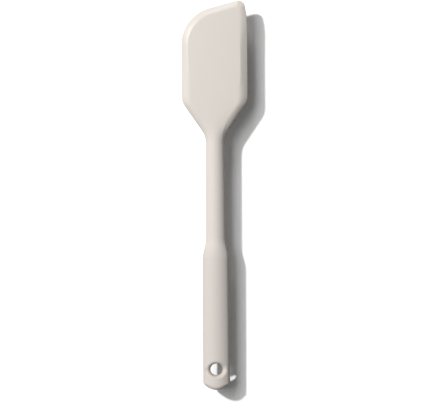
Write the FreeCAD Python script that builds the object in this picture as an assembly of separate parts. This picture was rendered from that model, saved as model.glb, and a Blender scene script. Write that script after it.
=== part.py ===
import FreeCAD
import Part
import math
import os
from FreeCAD import Vector

# Silicone spatula: a seamless silicone skin moulded over a perforated steel spine and a nylon handle core.
# Millimetres and degrees. +Y runs to the blade's tip, +X across the blade, +Z up from the resting plane.
# The pieces are drawn about their middle plane and lifted to stand on Z = 0 when they are written.

# Overall
overall_length = 310.0

# Blade outline, seen from above
blade_width = 52.6
blade_length = 76.2
blade_side_lean = 0.2
blade_side_radius = 70.0
blade_tip_run = 13.6
blade_tip_lean = 10.0
blade_tip_radius = 5.4
blade_top_slope = 15.4
blade_corner_radius = 30.3

# Blade thickness, and the thin wiping lip that runs round it outside a crease
blade_thickness_tip = 6.4
blade_thickness_base = 8.4
lip_thickness_tip = 1.2
lip_thickness_base = 2.0
lip_width_left = 5.1
lip_width_top = 5.0
lip_width_right = 5.6
crease_tip_lean = 2.0
crease_tip_radius = 1.2

# Shoulders, from the blade's sides down to the neck
shoulder_angle = 35.0
shoulder_radius = 14.0
neck_radius = 18.0

# Shaft
shaft_width_neck = 14.4
shaft_width_handle = 15.3
shaft_thickness = 10.6

# Handle, with a flare up from the shaft and a straight end round the hang hole
flare_length = 16.0
handle_length = 104.6
eye_length = 30.0
handle_width_front = 20.7
handle_width_rear = 21.4
handle_thickness = 14.4
handle_end_depth = 7.4
handle_end_side_radius = 5.0
handle_end_edge_radius = 3.4
handle_end_edge_rise = 0.4
handle_end_overhang = 0.4

# Oval sections of shaft and handle: the end arc's radius as a share of the half thickness
shaft_end_share = 0.6
handle_end_share = 0.78
oval_split_share = 0.45

# Hang hole
hole_diameter = 9.8
hole_from_end = 16.0
hole_mouth_radius = 2.2

# Silicone walls over the core
paddle_margin = 10.5
shaft_side_wall = 2.6
grip_wall = 2.4
hole_wall = 1.7

# Steel spine
spine_thickness = 2.0
paddle_corner_radius = 6.0
spine_neck_radius = 12.0
tang_end_radius = 3.0
tang_to_eye = 4.0
key_hole_diameter = 6.5
key_hole_pitch_across = 9.0
key_hole_pitch_along = 21.0
key_hole_rim = 3.0
tang_hole_diameter = 4.5
tang_hole_count = 3

# Nylon handle core, with the share of its half width and half thickness that its edges are chamfered by
core_chamfer_share = 0.5
groove_width = 4.0
groove_depth = 1.0
groove_pitch = 13.0
groove_margin = 9.0
eye_rim = 1.4

# Places along the length
y_end = -overall_length / 2
y_tip = overall_length / 2
y_handle_front = y_end + handle_length
y_flare_front = y_handle_front + flare_length
y_base = y_tip - blade_length
y_hole = y_end + hole_from_end
y_eye = y_end + eye_length
mid_height = handle_thickness / 2

# Allowances for cutters and for picking edges, which leave no mark on the pieces
clear_of_all = overall_length
cut_margin = 1.0

# Most of a side's length that the arcs at its two ends may take up
arc_room = 0.98


def smooth_step(share):
    """Ease from 0 to 1 with no slope at either end."""
    share = min(max(share, 0.0), 1.0)
    return share * share * (3 - 2 * share)


def blend(first, second, share):
    """Number or pair part of the way from the first to the second."""
    if isinstance(first, tuple):
        return tuple(blend(one, two, share) for one, two in zip(first, second))
    return first + (second - first) * share


def spread(start, stop, count):
    """Evenly spaced places after start, up to and with stop."""
    return [start + (stop - start) * step / count for step in range(1, count + 1)]


# Sides of the blade's outline, each as a point on the line and its outward direction
half_blade = blade_width / 2
lean = math.radians(blade_side_lean)
tip_lean = math.radians(blade_tip_lean)
crease_lean = math.radians(crease_tip_lean)
slope = math.radians(blade_top_slope)
shoulder = math.radians(shoulder_angle)
right_out = (math.cos(lean), math.sin(lean))
tip_out = (math.cos(tip_lean), math.sin(tip_lean))
top_out = (-math.sin(slope), math.cos(slope))
y_bend = y_tip - blade_tip_run
bend_point = (half_blade - (y_bend - y_base) * math.tan(lean), y_bend)
crease_bend = (bend_point[0] - lip_width_right / math.cos(lean), y_bend)
tip_centre_y = y_tip - blade_tip_radius
tip_centre_x = bend_point[0] - (blade_tip_radius + (tip_centre_y - y_bend) * tip_out[1]) / tip_out[0]
top_point = (tip_centre_x + blade_tip_radius * top_out[0], tip_centre_y + blade_tip_radius * top_out[1])
right_side = ((half_blade, y_base), right_out)
tip_side = (bend_point, tip_out)
crease_tip_side = (crease_bend, (math.cos(crease_lean), math.sin(crease_lean)))
top_side = (top_point, top_out)
left_side = ((-half_blade, y_base), (-1.0, 0.0))

# Shoulder outline: an arc, a straight run at the shoulder angle and an arc into the neck
half_neck = shaft_width_neck / 2
arc_drop = 1 - math.cos(shoulder)
straight_out = half_blade - half_neck - (shoulder_radius + neck_radius) * arc_drop
y_shoulder = y_base - shoulder_radius * math.sin(shoulder)
y_neck_top = y_shoulder - straight_out / math.tan(shoulder)
y_neck = y_neck_top - neck_radius * math.sin(shoulder)
shoulder_corner = (half_blade, y_base - shoulder_radius * math.tan(shoulder / 2))


def half_width(y):
    """Half the outline's width at y, from the handle's end to the foot of the blade."""
    if y <= y_handle_front:
        share = max(y - y_eye, 0) / (y_handle_front - y_eye)
        return blend(handle_width_rear, handle_width_front, share) / 2
    if y <= y_flare_front:
        share = smooth_step((y - y_handle_front) / flare_length)
        return blend(handle_width_front, shaft_width_handle, share) / 2
    if y <= y_neck:
        share = (y - y_flare_front) / (y_neck - y_flare_front)
        return blend(shaft_width_handle, shaft_width_neck, share) / 2
    if y <= y_neck_top:
        return half_neck + neck_radius - math.sqrt(neck_radius ** 2 - (y - y_neck) ** 2)
    if y <= y_shoulder:
        return half_neck + neck_radius * arc_drop + (y - y_neck_top) * math.tan(shoulder)
    return half_blade - shoulder_radius + math.sqrt(shoulder_radius ** 2 - (y_base - y) ** 2)


def blade_half_thickness(y):
    """Half the thickness inside the crease, on the blade's straight taper."""
    return blend(blade_thickness_base, blade_thickness_tip, (y - y_base) / blade_length) / 2


def lip_half_thickness(y):
    """Half the thickness of the lip's edge, on the blade's straight taper."""
    return blend(lip_thickness_base, lip_thickness_tip, (y - y_base) / blade_length) / 2


def half_thickness(y):
    """Half the thickness on the axis, from the handle's end to the foot of the blade."""
    if y <= y_neck:
        share = smooth_step((y - y_handle_front) / flare_length)
        return blend(handle_thickness, shaft_thickness, share) / 2
    share = smooth_step((y - y_neck) / (y_base - y_neck))
    return blend(shaft_thickness / 2, blade_half_thickness(y), share)


def bow(start, middle, stop):
    """Edge through three points: an arc, or a line where they are in line."""
    run = stop - start
    if run.cross(middle - start).Length < 1e-6 * run.Length:
        return Part.LineSegment(start, stop).toShape()
    return Part.Arc(start, middle, stop).toShape()


def oval_arcs(a, b, end_radius):
    """Radius of the long arc of a four-arc oval with half axes a and b, and its half angle."""
    long_radius = (a * a + b * b - 2 * a * end_radius) / (2 * (b - end_radius))
    return long_radius, math.atan2(a - end_radius, long_radius - b)


def end_share(y):
    """Size of the oval's end arcs at y, eased from the handle to the shaft over the flare."""
    return blend(handle_end_share, shaft_end_share, smooth_step((y - y_handle_front) / flare_length))


def oval_keys(a, b, end_radius):
    """Crease, half-way and lip points of a quarter of a four-arc oval with half axes a and b."""
    crease_angle = oval_arcs(a, b, end_radius)[1]
    lip_angle = math.acos(oval_split_share)
    angles = (crease_angle, (crease_angle + lip_angle) / 2, lip_angle)
    return [(a - end_radius + end_radius * math.sin(t), end_radius * math.cos(t)) for t in angles]


def plate_keys(a, b, lip, width):
    """Crease, half-way and lip points of a quarter of a flat section with a bevelled edge."""
    crease = (a - width, b)
    edge = (a, lip)
    return [crease, blend(crease, edge, 0.5), edge]


def flatness(y):
    """How far the section at y has gone from the shaft's oval to the blade's flat plate."""
    return smooth_step((y - y_neck) / (y_base - y_neck))


def section(y):
    """Closed section of eight edges at y, part of the way from the shaft's oval to the blade's plate."""
    a = half_width(y)
    b = half_thickness(y)
    sides = []
    for width in (lip_width_right, lip_width_left):
        plate = plate_keys(a, b, lip_half_thickness(y_base), width)
        oval = oval_keys(a, b, end_share(y) * b)
        sides.append([blend(one, two, flatness(y)) for one, two in zip(oval, plate)])
    right, left = sides

    def spot(point, across, up):
        return Vector(across * point[0], y, up * point[1])

    crown = (0.0, b)
    edge = (a, 0.0)
    crease, half_way, lip = range(3)
    edges = [
        bow(spot(right[lip], 1, -1), spot(edge, 1, 1), spot(right[lip], 1, 1)),
        bow(spot(right[lip], 1, 1), spot(right[half_way], 1, 1), spot(right[crease], 1, 1)),
        bow(spot(right[crease], 1, 1), spot(crown, 1, 1), spot(left[crease], -1, 1)),
        bow(spot(left[crease], -1, 1), spot(left[half_way], -1, 1), spot(left[lip], -1, 1)),
        bow(spot(left[lip], -1, 1), spot(edge, -1, 1), spot(left[lip], -1, -1)),
        bow(spot(left[lip], -1, -1), spot(left[half_way], -1, -1), spot(left[crease], -1, -1)),
        bow(spot(left[crease], -1, -1), spot(crown, 1, -1), spot(right[crease], 1, -1)),
        bow(spot(right[crease], 1, -1), spot(right[half_way], 1, -1), spot(right[lip], 1, -1)),
    ]
    return Part.Wire(edges)


# Runs along the length, each with its number of steps: one step is straight, more make a smooth curve
straight_steps = 1
flare_steps = 8
neck_steps = 12
handle_run = (y_eye, y_handle_front, straight_steps)
flare_run = (y_handle_front, y_flare_front, flare_steps)
shaft_run = (y_flare_front, y_neck, straight_steps)
neck_run = (y_neck, y_base, neck_steps)


def make_bar():
    """Bar from the handle's straight end to the foot of the blade, lofted run by run."""
    pieces = []
    for start, stop, steps in (handle_run, flare_run, shaft_run, neck_run):
        wires = [section(y) for y in [start] + spread(start, stop, steps)]
        pieces.append(Part.makeLoft(wires, True, steps == straight_steps))
    return pieces[0].fuse(pieces[1:])


def meet(first, second, first_inset, second_inset):
    """Corner of two sides, each set in along its own direction."""
    (p, n), (q, m) = first, second
    reach_p = p[0] * n[0] + p[1] * n[1] - first_inset
    reach_q = q[0] * m[0] + q[1] * m[1] - second_inset
    turn = n[0] * m[1] - n[1] * m[0]
    return ((reach_p * m[1] - reach_q * n[1]) / turn, (n[0] * reach_q - m[0] * reach_p) / turn)


def rounded_outline(corners, height):
    """Wire through corners given as (x, y, radius), with a tangent arc at each rounded corner.

    Two arcs that share a side are made smaller together where the side is too short for both.
    The height is a function of y, so the wire lies on a slope that runs along the length."""
    def lifted(point):
        return Vector(point.x, point.y, height(point.y))

    count = len(corners)
    points = [Vector(x, y, 0) for x, y, radius in corners]
    sides = [points[(index + 1) % count] - points[index] for index in range(count)]
    half_angles = [(-sides[index - 1]).getAngle(sides[index]) / 2 for index in range(count)]
    reaches = [radius / math.tan(angle) for (x, y, radius), angle in zip(corners, half_angles)]
    fits = []
    for index, side in enumerate(sides):
        needed = reaches[index] + reaches[(index + 1) % count]
        room = arc_room * side.Length
        fits.append(room / max(needed, room))

    joints = []
    for index, point in enumerate(points):
        fit = min(fits[index - 1], fits[index])
        reach = reaches[index] * fit
        if reach == 0:
            joints.append([point])
            continue
        before = -Vector(sides[index - 1]).normalize()
        after = Vector(sides[index]).normalize()
        inward = (before + after).normalize()
        radius = corners[index][2] * fit
        middle = point + inward * (radius / math.sin(half_angles[index]) - radius)
        joints.append([point + before * reach, middle, point + after * reach])

    edges = []
    for index, joint in enumerate(joints):
        if len(joint) == 3:
            edges.append(bow(*[lifted(point) for point in joint]))
        start, stop = joint[-1], joints[(index + 1) % count][0]
        edges.append(Part.LineSegment(lifted(start), lifted(stop)).toShape())
    return Part.Wire(edges)


def blade_outline(insets, tip_run, radii, height):
    """Blade outline set in by (left, top, right), closed by a straight line at the shoulders.

    The run from the right side to the tip is given as it lies, and the radii are those of the bend in the
    right side, of the tip and of the round corner."""
    left_inset, top_inset, right_inset = insets
    bend_radius, tip_radius, corner_radius = radii
    foot = ((0.0, y_base), (0.0, -1.0))
    corners = [
        meet(foot, right_side, 0, right_inset) + (0,),
        meet(right_side, tip_run, right_inset, 0) + (bend_radius,),
        meet(tip_run, top_side, 0, top_inset) + (tip_radius,),
        meet(top_side, left_side, top_inset, left_inset) + (corner_radius,),
        meet(left_side, foot, left_inset, 0) + (0,),
    ]
    return rounded_outline(corners, height)


def make_blade():
    """Blade: a tapering plate whose edge is bevelled down to a thin lip all round, on both faces."""
    lip_widths = (lip_width_left, lip_width_top, lip_width_right)
    edge_radii = (blade_side_radius, blade_tip_radius, blade_corner_radius)
    crease_corner_radius = blade_corner_radius - (lip_width_left + lip_width_top) / 2
    crease_radii = (blade_side_radius, crease_tip_radius, crease_corner_radius)

    def edge_wire(side):
        return blade_outline((0, 0, 0), tip_side, edge_radii,
                             lambda y: side * lip_half_thickness(y))

    def crease_wire(side):
        return blade_outline(lip_widths, crease_tip_side, crease_radii,
                             lambda y: side * blade_half_thickness(y))

    wires = [crease_wire(-1), edge_wire(-1), edge_wire(1), crease_wire(1)]
    return Part.makeLoft(wires, True, True)


def end_form():
    """Upright block that gives the handle's end its plan of three tangent arcs, and its rounded edges.

    It is a little wider and taller than the handle, so it crosses its faces and never runs along them."""
    a = half_width(y_end) + handle_end_overhang
    height = half_thickness(y_end) + handle_end_edge_rise
    radius = handle_end_side_radius
    y_sides = y_end + handle_end_depth
    y_far = y_eye + cut_margin
    join = oval_arcs(a, handle_end_depth, radius)[1]
    square = math.pi / 2
    half_way = (join + square) / 2

    def spot(x, y):
        return Vector(x, y, -height)

    def side_spot(side, angle):
        return spot(side * (a - radius + radius * math.sin(angle)), y_sides - radius * math.cos(angle))

    edges = [
        bow(side_spot(-1, square), side_spot(-1, half_way), side_spot(-1, join)),
        bow(side_spot(-1, join), spot(0, y_end), side_spot(1, join)),
        bow(side_spot(1, join), side_spot(1, half_way), side_spot(1, square)),
    ]
    far_points = [side_spot(1, square), spot(a, y_far), spot(-a, y_far), side_spot(-1, square)]
    far_side = Part.makePolygon(far_points)
    block = Part.Face(Part.Wire(edges + far_side.Edges)).extrude(Vector(0, 0, 2 * height))
    rims = [edge for edge in block.Edges
            if edge.BoundBox.ZLength < cut_margin and edge.BoundBox.YMin < y_eye]
    return block.makeFillet(handle_end_edge_radius, rims)


def hang_bore(radius):
    """Upright cylinder through the handle's eye."""
    return Part.makeCylinder(radius, clear_of_all, Vector(0, y_hole, -clear_of_all / 2))


def edges_within(solid, y_low, y_high):
    """Curved edges that lie wholly between two places along the length."""
    return [edge for edge in solid.Edges
            if edge.BoundBox.YMin > y_low and edge.BoundBox.YMax < y_high
            and edge.Curve.TypeId != "Part::GeomLine"]


def mouth_radius():
    """Radius of the hang hole's mouth, kept on the oval's broad faces."""
    a = half_width(y_hole)
    b = half_thickness(y_hole)
    end_radius = end_share(y_hole) * b
    face_half_width = oval_keys(a, b, end_radius)[0][0]
    face_edge_angle = oval_arcs(a, b, end_radius)[1]
    room = (face_half_width - hole_diameter / 2) / (1 + math.sin(face_edge_angle))
    return min(hole_mouth_radius, arc_room * room)


def make_eye():
    """Straight end of the handle: an oval block with a rounded end and the hang hole."""
    eye = Part.Face(section(y_end)).extrude(Vector(0, eye_length, 0)).common(end_form())
    eye = eye.cut(hang_bore(hole_diameter / 2))
    reach = hole_diameter / 2 + cut_margin
    mouth = edges_within(eye, y_hole - reach, y_hole + reach)
    return eye.makeFillet(mouth_radius(), mouth)


def make_outer():
    """Whole outer form of the skin, without its core."""
    return make_bar().fuse([make_blade(), make_eye()]).removeSplitter()


def paddle_top(x):
    """Height of the paddle's upper edge at x, on its round corner or its sloping edge."""
    radius = blade_corner_radius - paddle_margin
    corner_x = -half_blade + blade_corner_radius
    corner_y = meet(left_side, top_side, blade_corner_radius, blade_corner_radius)[1]
    if x < corner_x + radius * top_out[0]:
        return corner_y + math.sqrt(radius ** 2 - (x - corner_x) ** 2)
    return top_point[1] - (paddle_margin + (x - top_point[0]) * top_out[0]) / top_out[1]


def key_holes(foot):
    """Places of the paddle's holes: three columns from the foot up, the outer two half a step higher."""
    places = []
    clear = key_hole_diameter / 2 + key_hole_rim
    for column in (-1, 0, 1):
        x = column * key_hole_pitch_across
        start = foot + clear + abs(column) * key_hole_pitch_along / 2
        rows = int((paddle_top(x) - clear - start) / key_hole_pitch_along) + 1
        places += [(x, start + row * key_hole_pitch_along) for row in range(rows)]
    return places


def make_spine():
    """Steel spine: perforated paddle, straight shank and drilled tang in one flat strip."""
    half_shank = half_neck - shaft_side_wall
    y_tang = y_hole + hole_diameter / 2 + hole_wall + tang_to_eye
    slant = (math.cos(shoulder), -math.sin(shoulder))
    right_shoulder = (shoulder_corner, slant)
    left_shoulder = ((-shoulder_corner[0], shoulder_corner[1]), (-slant[0], slant[1]))
    right_shank = ((half_shank, 0.0), (1.0, 0.0))
    left_shank = ((-half_shank, 0.0), (-1.0, 0.0))
    tang_end = ((0.0, y_tang), (0.0, -1.0))
    margin = paddle_margin
    right_foot = meet(right_shoulder, right_side, margin, margin)
    corners = [
        meet(tang_end, right_shank, 0, 0) + (tang_end_radius,),
        meet(right_shank, right_shoulder, 0, margin) + (spine_neck_radius,),
        right_foot + (paddle_corner_radius,),
        meet(right_side, top_side, margin, margin) + (paddle_corner_radius,),
        meet(top_side, left_side, margin, margin) + (blade_corner_radius - margin,),
        meet(left_side, left_shoulder, margin, margin) + (paddle_corner_radius,),
        meet(left_shoulder, left_shank, margin, 0) + (spine_neck_radius,),
        meet(left_shank, tang_end, 0, 0) + (tang_end_radius,),
    ]
    outline = rounded_outline(corners, lambda y: -spine_thickness / 2)
    spine = Part.Face(outline).extrude(Vector(0, 0, spine_thickness))

    drills = [(x, y, key_hole_diameter) for x, y in key_holes(right_foot[1])]
    tang_pitch = (y_handle_front - y_tang) / tang_hole_count
    for step in range(tang_hole_count):
        drills.append((0.0, y_tang + tang_pitch * (step + 0.5), tang_hole_diameter))
    for x, y, diameter in drills:
        place = Vector(x, y, -spine_thickness / 2)
        spine = spine.cut(Part.makeCylinder(diameter / 2, spine_thickness, place))
    return spine


def core_section(y, inset):
    """Eight-sided section of the nylon core at y, set in from the skin."""
    a = half_width(y) - inset
    b = half_thickness(y) - inset
    flat_a = a * (1 - core_chamfer_share)
    flat_b = b * (1 - core_chamfer_share)
    quarter = [(a, flat_b), (flat_a, b)]
    top = quarter + [(-x, z) for x, z in reversed(quarter)]
    loop = top + [(-x, -z) for x, z in top]
    return Part.makePolygon([Vector(x, y, z) for x, z in loop + loop[:1]])


def make_core_bar(inset):
    """Eight-sided bar from the middle of the eye to the end of the flare."""
    wires = [core_section(y, inset) for y in (y_hole, y_eye, y_handle_front, y_flare_front)]
    return Part.makeLoft(wires, True, True)


def make_core_envelope():
    """Nylon core before the tang is taken out: bar, retention grooves and the eye that the skin lines."""
    bar = make_core_bar(grip_wall)
    waist = make_core_bar(grip_wall + groove_depth)
    first = y_hole + hole_diameter / 2 + hole_wall + groove_margin
    count = int((y_handle_front - groove_margin - first) / groove_pitch) + 1
    for step in range(count):
        slab = Part.makeBox(blade_width, groove_width, handle_thickness,
                            Vector(-blade_width / 2, first + step * groove_pitch, -handle_thickness / 2))
        bar = bar.cut(slab.cut(waist))

    lining_radius = hole_diameter / 2 + hole_wall
    eye_height = (handle_thickness - 2 * grip_wall) * (1 - core_chamfer_share)
    eye = Part.makeCylinder(lining_radius + eye_rim, eye_height, Vector(0, y_hole, -eye_height / 2))
    return bar.fuse(eye).cut(hang_bore(lining_radius))


def write(shape, node):
    """Lift a piece, which is one solid, to stand on the resting plane and write it."""
    solid, = shape.Solids
    solid.translated(Vector(0, 0, mid_height)).exportStep("parts/" + node + ".step")


def main():
    os.makedirs("parts", exist_ok=True)
    spine = make_spine()
    envelope = make_core_envelope()
    write(make_outer().cut(envelope).cut(spine), "silicone_skin")
    write(spine, "steel_spine")
    write(envelope.cut(spine), "handle_core")


main()
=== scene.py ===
import math

import bmesh
import bpy
import numpy as np
from bpy.props import FloatProperty, FloatVectorProperty, PointerProperty
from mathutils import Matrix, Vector


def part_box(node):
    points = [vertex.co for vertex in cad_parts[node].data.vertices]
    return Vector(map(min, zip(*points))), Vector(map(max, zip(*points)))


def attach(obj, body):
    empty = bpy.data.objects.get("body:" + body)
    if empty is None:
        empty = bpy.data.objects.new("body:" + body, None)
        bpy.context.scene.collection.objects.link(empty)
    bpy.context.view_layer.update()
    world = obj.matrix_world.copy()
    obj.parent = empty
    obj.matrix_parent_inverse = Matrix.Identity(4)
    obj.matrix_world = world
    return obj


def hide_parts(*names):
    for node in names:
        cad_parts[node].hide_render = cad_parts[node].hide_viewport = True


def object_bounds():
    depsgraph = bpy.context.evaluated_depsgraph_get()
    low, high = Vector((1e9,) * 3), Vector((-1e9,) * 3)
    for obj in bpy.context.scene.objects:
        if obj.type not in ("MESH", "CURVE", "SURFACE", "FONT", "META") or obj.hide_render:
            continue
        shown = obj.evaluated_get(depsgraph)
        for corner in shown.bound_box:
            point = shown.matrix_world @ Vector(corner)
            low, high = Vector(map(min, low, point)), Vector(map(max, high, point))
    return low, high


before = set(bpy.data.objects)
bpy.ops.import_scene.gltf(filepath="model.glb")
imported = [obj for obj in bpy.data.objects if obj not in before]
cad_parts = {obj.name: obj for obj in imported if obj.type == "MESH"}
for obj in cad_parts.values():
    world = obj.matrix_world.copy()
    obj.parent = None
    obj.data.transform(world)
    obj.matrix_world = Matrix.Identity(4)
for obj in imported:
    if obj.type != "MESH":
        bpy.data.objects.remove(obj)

bl_info = {
    "name": "Silicone spatula",
    "version": (1, 0, 0),
    "blender": (4, 5, 0),
    "location": "View3D > Sidebar > Spatula",
    "description": "One-piece silicone spatula over a steel spine and a nylon handle core",
    "category": "Add Mesh",
}

cad_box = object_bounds()
skin_low, skin_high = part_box("silicone_skin")
core_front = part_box("handle_core")[1].y
mid_height = (skin_low.z + skin_high.z) / 2


def kind_of_property(maker, **kind):
    """Function that makes properties of one kind, each from a name, a description and a default."""
    def make(name, description, default):
        return maker(name=name, description=description, default=default, **kind)
    return make


metres = kind_of_property(FloatProperty, unit="LENGTH", precision=5)
fraction = kind_of_property(FloatProperty, min=0.0, max=1.0, subtype="FACTOR")
watts = kind_of_property(FloatProperty, min=0.0, unit="POWER")
direction = kind_of_property(FloatVectorProperty, size=3, subtype="XYZ")
tint = kind_of_property(FloatVectorProperty, size=3, min=0.0, max=1.0, subtype="COLOR")


def degrees(name, description, default):
    """Property for an angle, given in degrees."""
    return FloatProperty(name=name, description=description, default=math.radians(default), subtype="ANGLE")


class BladeSizes(bpy.types.PropertyGroup):
    """Sizes of the blade and of the bevelled lip round it."""

    width: metres("Width", "Across the blade at its foot", skin_high.x - skin_low.x)
    length: metres("Length", "From the tip down to the shoulders", 0.0762)
    side_lean: degrees("Side lean", "Lean of the right side towards the tip", 0.2)
    side_radius: metres("Side radius", "Broad bend of the right side below the tip", 0.070)
    tip_run: metres("Tip run", "From the middle of that bend up to the tip", 0.0136)
    tip_lean: degrees("Tip lean", "Lean of the right side between that bend and the tip", 10.0)
    top_slope: degrees("Top slope", "Rise of the top edge from the round corner to the tip", 15.4)
    corner_radius: metres("Corner radius", "Round corner at the upper left", 0.0303)
    tip_radius: metres("Tip radius", "Small corner at the upper right", 0.0054)
    thickness_tip: metres("Thickness at tip", "Inside the crease, at the tip", 0.0064)
    thickness_base: metres("Thickness at foot", "Inside the crease, at the shoulders", 0.0100)
    tip_thinning: metres("Tip thinning", "Taken off the straight taper at the tip", 0.0014)
    lip_tip: metres("Lip at tip", "Thickness of the lip's edge at the tip", 0.0008)
    lip_base: metres("Lip at foot", "Thickness of the lip's edge at the shoulders", 0.0012)
    lip_left: metres("Left lip", "Width of the bevel on the left", 0.0051)
    lip_top: metres("Top lip", "Width of the bevel along the top", 0.0050)
    lip_right: metres("Right lip", "Width of the bevel on the right", 0.0056)
    crease_tip_lean: degrees("Crease tip lean", "Lean of the right crease above the bend", 2.0)
    crease_tip_radius: metres("Crease tip radius", "Corner of the crease at the tip", 0.0012)
    crease_tip: metres("Crease at tip", "Reach of the crease's rounding at the tip", 0.0004)
    crease_base: metres("Crease at foot", "Reach of the crease's rounding at the shoulders", 0.0020)
    bulge_tip: fraction("Bulge at tip", "Swell of the bevel at the tip, as a share of its rise", 0.35)
    bulge_base: fraction("Bulge at foot", "Swell of the bevel at the shoulders, as such a share", 1.0)
    spread_base: fraction("Spread at foot", "Widening of the bevel at the shoulders, as a share", 0.35)
    swell_left: metres("Left swell", "From the shoulders to where the left bevel is crisp", 0.034)
    swell_right: metres("Right swell", "From the shoulders to where the right bevel is crisp", 0.016)
    polish_start: metres("Polish start", "From the shoulders to where the lip starts to be smoother", 0.012)
    polish_reach: metres("Polish reach", "From there to where the lip is at its smoothest", 0.030)
    tip_blunt: metres("Blunt tip", "Added to half the right lip's thickness at the tip", 0.0005)
    blunt_reach: metres("Blunt reach", "From the tip down to where the right lip is thin again", 0.040)
    blunt_full: metres("Blunt start", "From the tip down to where the right lip is bluntest", 0.009)
    edge_radius: metres("Edge radius", "Rounding between the bevel and the lip's edge", 0.0004)
    crown: metres("Crown", "Rise of the broad faces towards their middle", 0.0008)


class StemSizes(bpy.types.PropertyGroup):
    """Sizes of the shoulders, shaft and handle."""

    length: metres("Overall length", "From the handle's end to the blade's tip", 0.310)
    shoulder_angle: degrees("Shoulder angle", "Of the shoulder's straight run to the length", 35.0)
    shoulder_radius: metres("Shoulder radius", "Arc from the blade's side to the shoulder", 0.014)
    neck_radius: metres("Neck radius", "Arc from the shoulder to the shaft", 0.018)
    shaft_width_neck: metres("Shaft at neck", "Width of the shaft at the neck", 0.0144)
    shaft_width_handle: metres("Shaft at handle", "Width of the shaft at the handle", 0.0153)
    shaft_thickness: metres("Shaft thickness", "Thickness of the shaft", 0.0106)
    shaft_end_share: fraction("Shaft sides", "End arcs of the oval as a share of half its height", 0.6)
    handle_end_share: fraction("Handle sides", "End arcs of the oval as a share of half its height", 0.78)
    flare_length: metres("Flare", "From the shaft to the full handle", 0.016)
    handle_length: metres("Handle length", "Of the full handle", 0.1046)
    eye_length: metres("Straight end", "Straight part of the handle round the hang hole", 0.030)
    handle_width_front: metres("Handle front", "Width of the handle at the flare", 0.0207)
    handle_width_rear: metres("Handle rear", "Width of the handle at its end", 0.0214)
    handle_thickness: metres("Handle thickness", "Thickness of the handle", skin_high.z - skin_low.z)
    end_depth: metres("End depth", "Depth of the handle's rounded end", 0.0074)
    end_side_radius: metres("End corner", "Corner radius of the handle's end in plan", 0.005)
    end_edge_radius: metres("End edge", "Rounding along the edge of the handle's end", 0.0034)
    end_overhang: metres("End overhang", "How much wider the end's plan is than the handle", 0.0004)
    hole_diameter: metres("Hang hole", "Bore of the hang hole", 0.0098)
    hole_from_end: metres("Hole place", "From the handle's end to the middle of the hole", 0.016)
    mouth_radius: metres("Hole mouth", "Rounding of the hang hole's mouth", 0.0024)
    mouth_sink: metres("Mouth sink", "How much deeper than that the mouth runs into the bore", 0.0016)


class Finishes(bpy.types.PropertyGroup):
    """Colours and roughness of the three materials."""

    silicone: tint("Silicone", "Warm oat silicone", (0.734, 0.683, 0.635))
    # Silicone shade: the darker tone of the clouding, and also the painted shade over the handle
    silicone_clouds_and_painted_shade: tint("Silicone shade", "Where it clouds and over the dark core", (0.672, 0.622, 0.578))
    silicone_roughness: fraction("Silicone roughness", "Of the smoothest silicone", 0.6)
    steel: tint("Steel", "Brushed steel of the spine", (0.56, 0.56, 0.55))
    steel_shade: tint("Steel shade", "Steel in its scratches", (0.448, 0.448, 0.44))
    steel_roughness: fraction("Steel roughness", "Of the smoothest steel", 0.24)
    nylon: tint("Nylon", "Glass-filled nylon of the handle core", (0.045, 0.045, 0.05))
    nylon_fleck: tint("Nylon fleck", "Glass fibres in the nylon", (0.108, 0.108, 0.12))
    nylon_roughness: fraction("Nylon roughness", "Of the smoothest nylon", 0.48)


class StageSizes(bpy.types.PropertyGroup):
    """Sizes, places and powers of the floor, camera and lamps."""

    frame_width: metres("Frame width", "Width that the picture shows at the object's middle plane", 0.3493)
    camera_height: metres("Camera height", "Camera above the object's middle plane", 1.4)
    camera_across: metres("Camera across", "Camera to the right of the object's middle", 0.00285)
    camera_along: metres("Camera along", "Camera from the object's middle towards the tip", -0.00482)
    camera_roll: degrees("Camera roll", "Turn of the camera about its line of sight", -0.4)
    floor_reach: metres("Floor reach", "From the middle of the floor to its sides", 3.0)
    floor_drop: metres("Floor drop", "Floor below the object's lowest point", 0.0128)
    floor_tilt: degrees("Floor tilt", "Fall of the floor towards the blade", 0.78)
    fill: fraction("Fill", "Strength of the even light from all round", 0.11)
    key_from: direction("Key direction", "From the object to the key lamp", (-0.675, 0.45, 1.0))
    key_power: watts("Key power", "Power of the key lamp", 74.0)
    key_distance: metres("Key distance", "Small key lamp from the middle of the object", 3.2)
    key_size: metres("Key size", "Diameter of the key lamp", 0.2)
    far_from: direction("Far direction", "From the object to the lamp beyond its tip", (-0.3, 1.5, 1.0))
    far_power: watts("Far power", "Power of the lamp beyond the tip", 4.2)
    far_distance: metres("Far distance", "Lamp beyond the tip from the middle of the object", 2.0)
    far_size: metres("Far size", "Diameter of the lamp beyond the tip", 0.5)
    soft_from: direction("Soft direction", "To the soft lamp, for a height of 1", (-0.45, 0.25, 1.0))
    soft_power: watts("Soft power", "Power of the soft lamp", 22.0)
    soft_height: metres("Soft height", "Broad soft lamp above the object's bottom", 2.4)
    soft_width: metres("Soft width", "Soft lamp across the object", 1.0)
    soft_length: metres("Soft length", "Soft lamp along the object", 1.58)


# Columns of the skin's grid: up the edge, over the bevel, and across the flat between the two creases
EDGE_COLUMNS = 8
BEVEL_COLUMNS = 16
FLAT_COLUMNS = 40

# Rows of the skin's grid, run by run from the handle's end to the tip
END_ROWS = 22
CORNER_ROWS = 14
EYE_ROWS = 30
HANDLE_ROWS = 30
FLARE_ROWS = 24
SHAFT_ROWS = 24
NECK_ROWS = 56
SIDE_ROWS = 30
ARC_ROWS = 40
TOP_ROWS = 30
TIP_ROWS = 12

# Rows of the hang hole's patch: over the face, round the mouth and down the bore
PATCH_ROWS = 8
MOUTH_ROWS = 14
BORE_ROWS = 5

# How far the bevel's columns crowd towards both its ends, from 0 for evenly spaced
BEVEL_CROWDING = 0.55

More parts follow.
